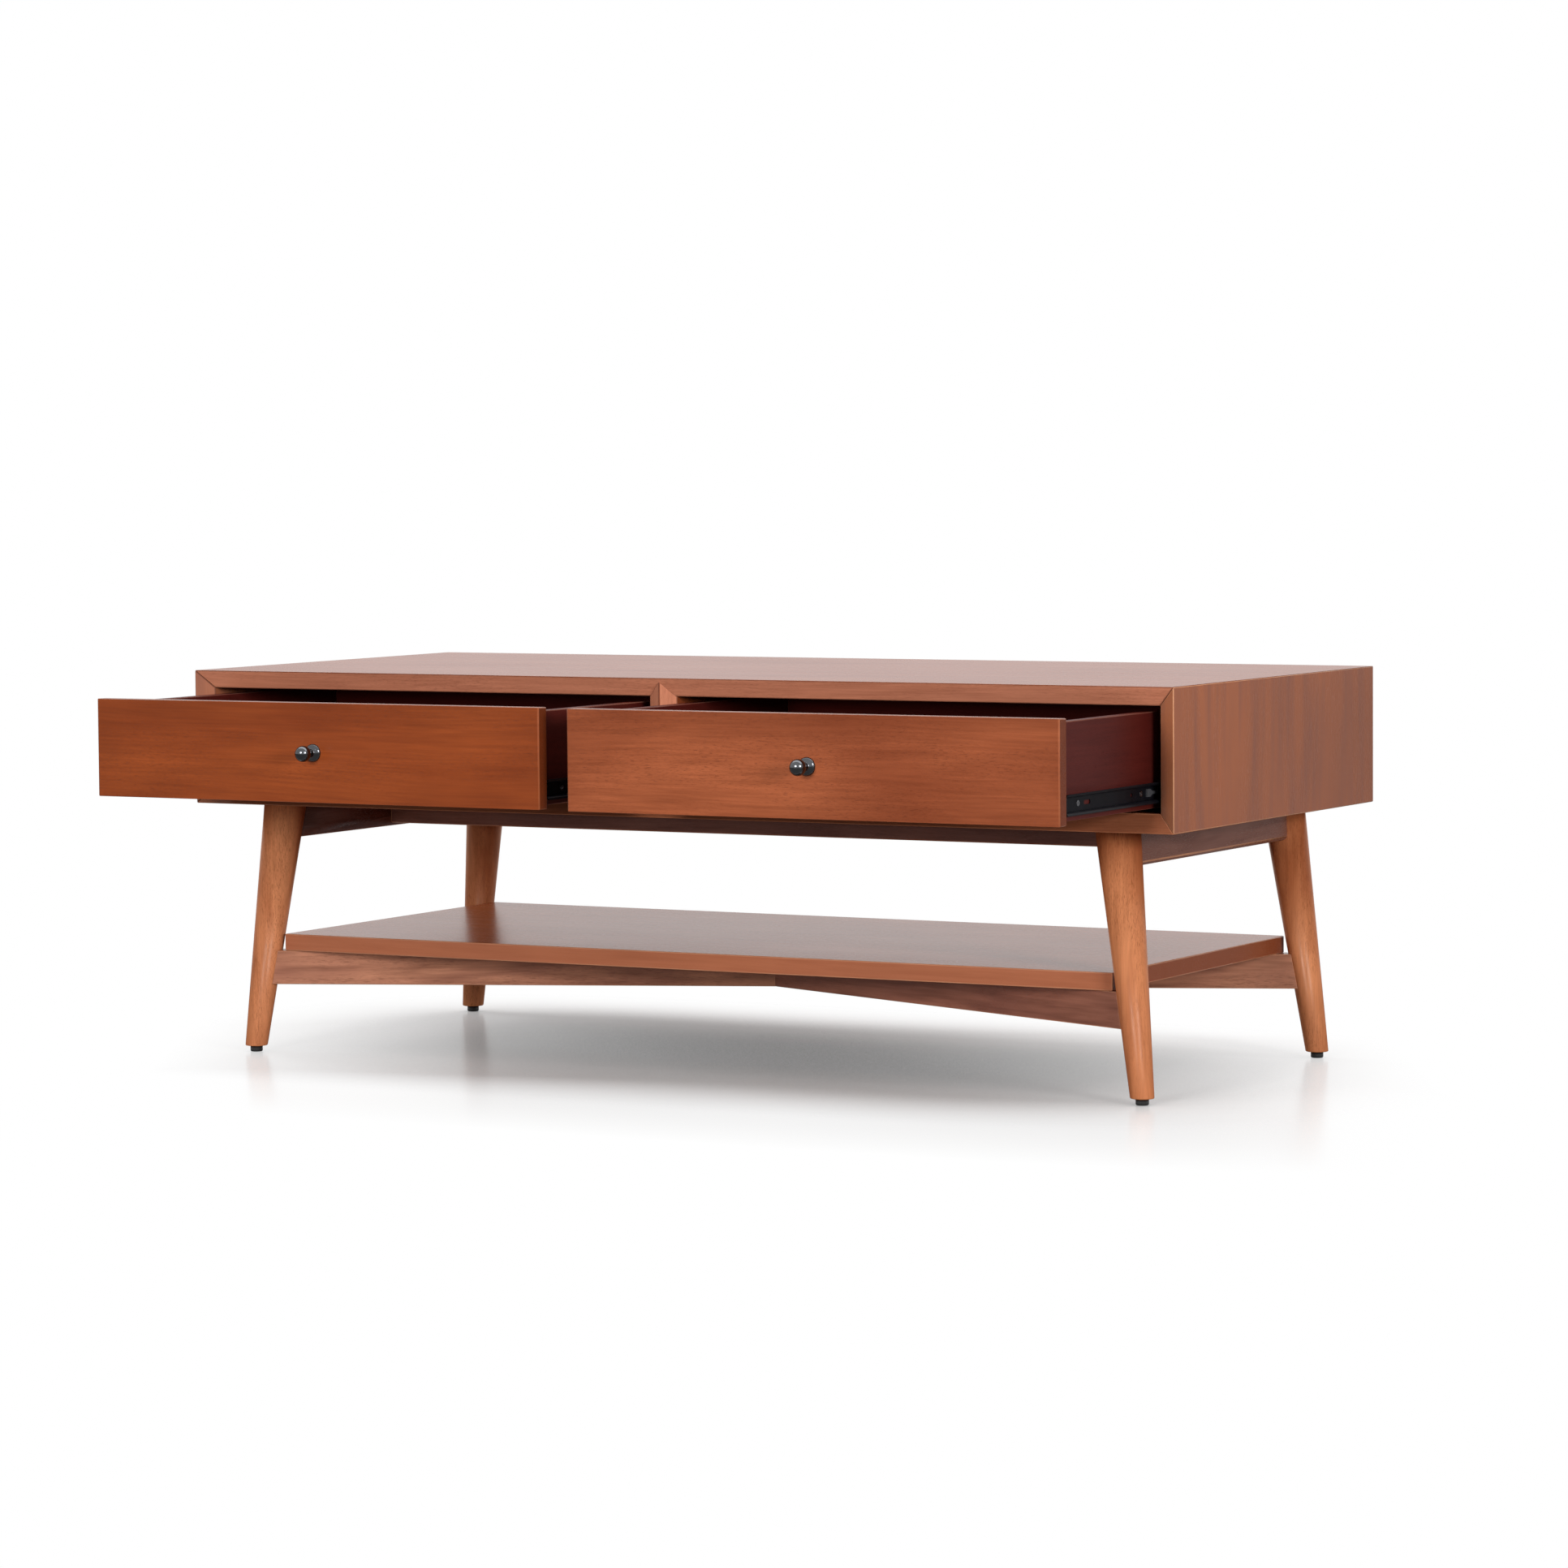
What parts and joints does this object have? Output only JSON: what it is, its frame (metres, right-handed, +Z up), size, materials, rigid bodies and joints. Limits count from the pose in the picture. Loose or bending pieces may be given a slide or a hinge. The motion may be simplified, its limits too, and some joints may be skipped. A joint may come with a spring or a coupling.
{
  "type": "coffee table with drawers",
  "caption": "Low wooden coffee table: a mitred case with side-by-side drawers on ball-bearing slides, on splayed tapered legs with crossed stretchers and a lower shelf.",
  "frame": {"origin": "on the floor under the middle of the box around the table, with the drawers standing open as in the rest pose", "axes": "+X along the case to the right as seen from the front, +Y from the drawer fronts to the back, +Z up"},
  "size_m": [1.219, 0.7778, 0.436],
  "materials": {
    "stained_wood": "satin reddish-brown stain under clear lacquer",
    "drawer_wood": "dark red-brown stain, satin",
    "back_board": "stained board, satin",
    "dowel_wood": "bare wood",
    "black_steel": "black coated sheet steel",
    "bright_steel": "zinc plated steel",
    "dark_metal": "polished gunmetal plating",
    "black_plastic": "moulded",
    "grey_plastic": "moulded"
  },
  "bodies": {
    "table": {"back_left_leg": "stained_wood", "back_right_leg": "stained_wood", "base_screws": "bright_steel", "case_back": "back_board", "case_bottom": "stained_wood", "case_left_side": "stained_wood", "case_right_side": "stained_wood", "case_slide_screws": "bright_steel", "case_top": "stained_wood", "centre_divider": "stained_wood", "centre_rail": "stained_wood", "divider_dowels": "dowel_wood", "falling_stretcher": "stained_wood", "front_left_leg": "stained_wood", "front_right_leg": "stained_wood", "glides": "black_plastic", "left_drawer_left_cabinet_member": "black_steel", "left_drawer_right_cabinet_member": "black_steel", "left_side_rail": "stained_wood", "mitre_splines": "dowel_wood", "rail_dowels": "dowel_wood", "right_drawer_left_cabinet_member": "black_steel", "right_drawer_right_cabinet_member": "black_steel", "right_side_rail": "stained_wood", "rising_stretcher": "stained_wood", "shelf": "stained_wood", "shelf_screws": "bright_steel", "stretcher_dowels": "dowel_wood"},
    "left_drawer": {"left_drawer_back": "drawer_wood", "left_drawer_bottom": "drawer_wood", "left_drawer_box_front": "drawer_wood", "left_drawer_front": "stained_wood", "left_drawer_left_member": "black_steel", "left_drawer_left_side": "drawer_wood", "left_drawer_right_member": "black_steel", "left_drawer_right_side": "drawer_wood", "left_front_screws": "bright_steel", "left_knob": "dark_metal", "left_knob_screw": "bright_steel", "left_release_levers": "grey_plastic", "left_slide_screws": "bright_steel"},
    "left_cages": {"left_ball_cages": "bright_steel", "left_balls": "bright_steel"},
    "right_drawer": {"right_drawer_back": "drawer_wood", "right_drawer_bottom": "drawer_wood", "right_drawer_box_front": "drawer_wood", "right_drawer_front": "stained_wood", "right_drawer_left_member": "black_steel", "right_drawer_left_side": "drawer_wood", "right_drawer_right_member": "black_steel", "right_drawer_right_side": "drawer_wood", "right_front_screws": "bright_steel", "right_knob": "dark_metal", "right_knob_screw": "bright_steel", "right_release_levers": "grey_plastic", "right_slide_screws": "bright_steel"},
    "right_cages": {"right_ball_cages": "bright_steel", "right_balls": "bright_steel"}
  },
  "joints": [
    {"name": "left_drawer_slide", "type": "slide", "parent": "table", "child": "left_drawer", "axis": [0, -1, 0], "range_m": [-0.2255, 0.0745]},
    {"name": "left_cage_slide", "type": "slide", "parent": "table", "child": "left_cages", "axis": [0, -1, 0], "range_m": [-0.11275, 0.03725]},
    {"name": "right_drawer_slide", "type": "slide", "parent": "table", "child": "right_drawer", "axis": [0, -1, 0], "range_m": [-0.2315, 0.0685]},
    {"name": "right_cage_slide", "type": "slide", "parent": "table", "child": "right_cages", "axis": [0, -1, 0], "range_m": [-0.11575, 0.03425]}
  ],
  "couplings": [
    {"joint": "left_cage_slide", "follows": "left_drawer_slide", "ratio": 0.5},
    {"joint": "right_cage_slide", "follows": "right_drawer_slide", "ratio": 0.5}
  ]
}
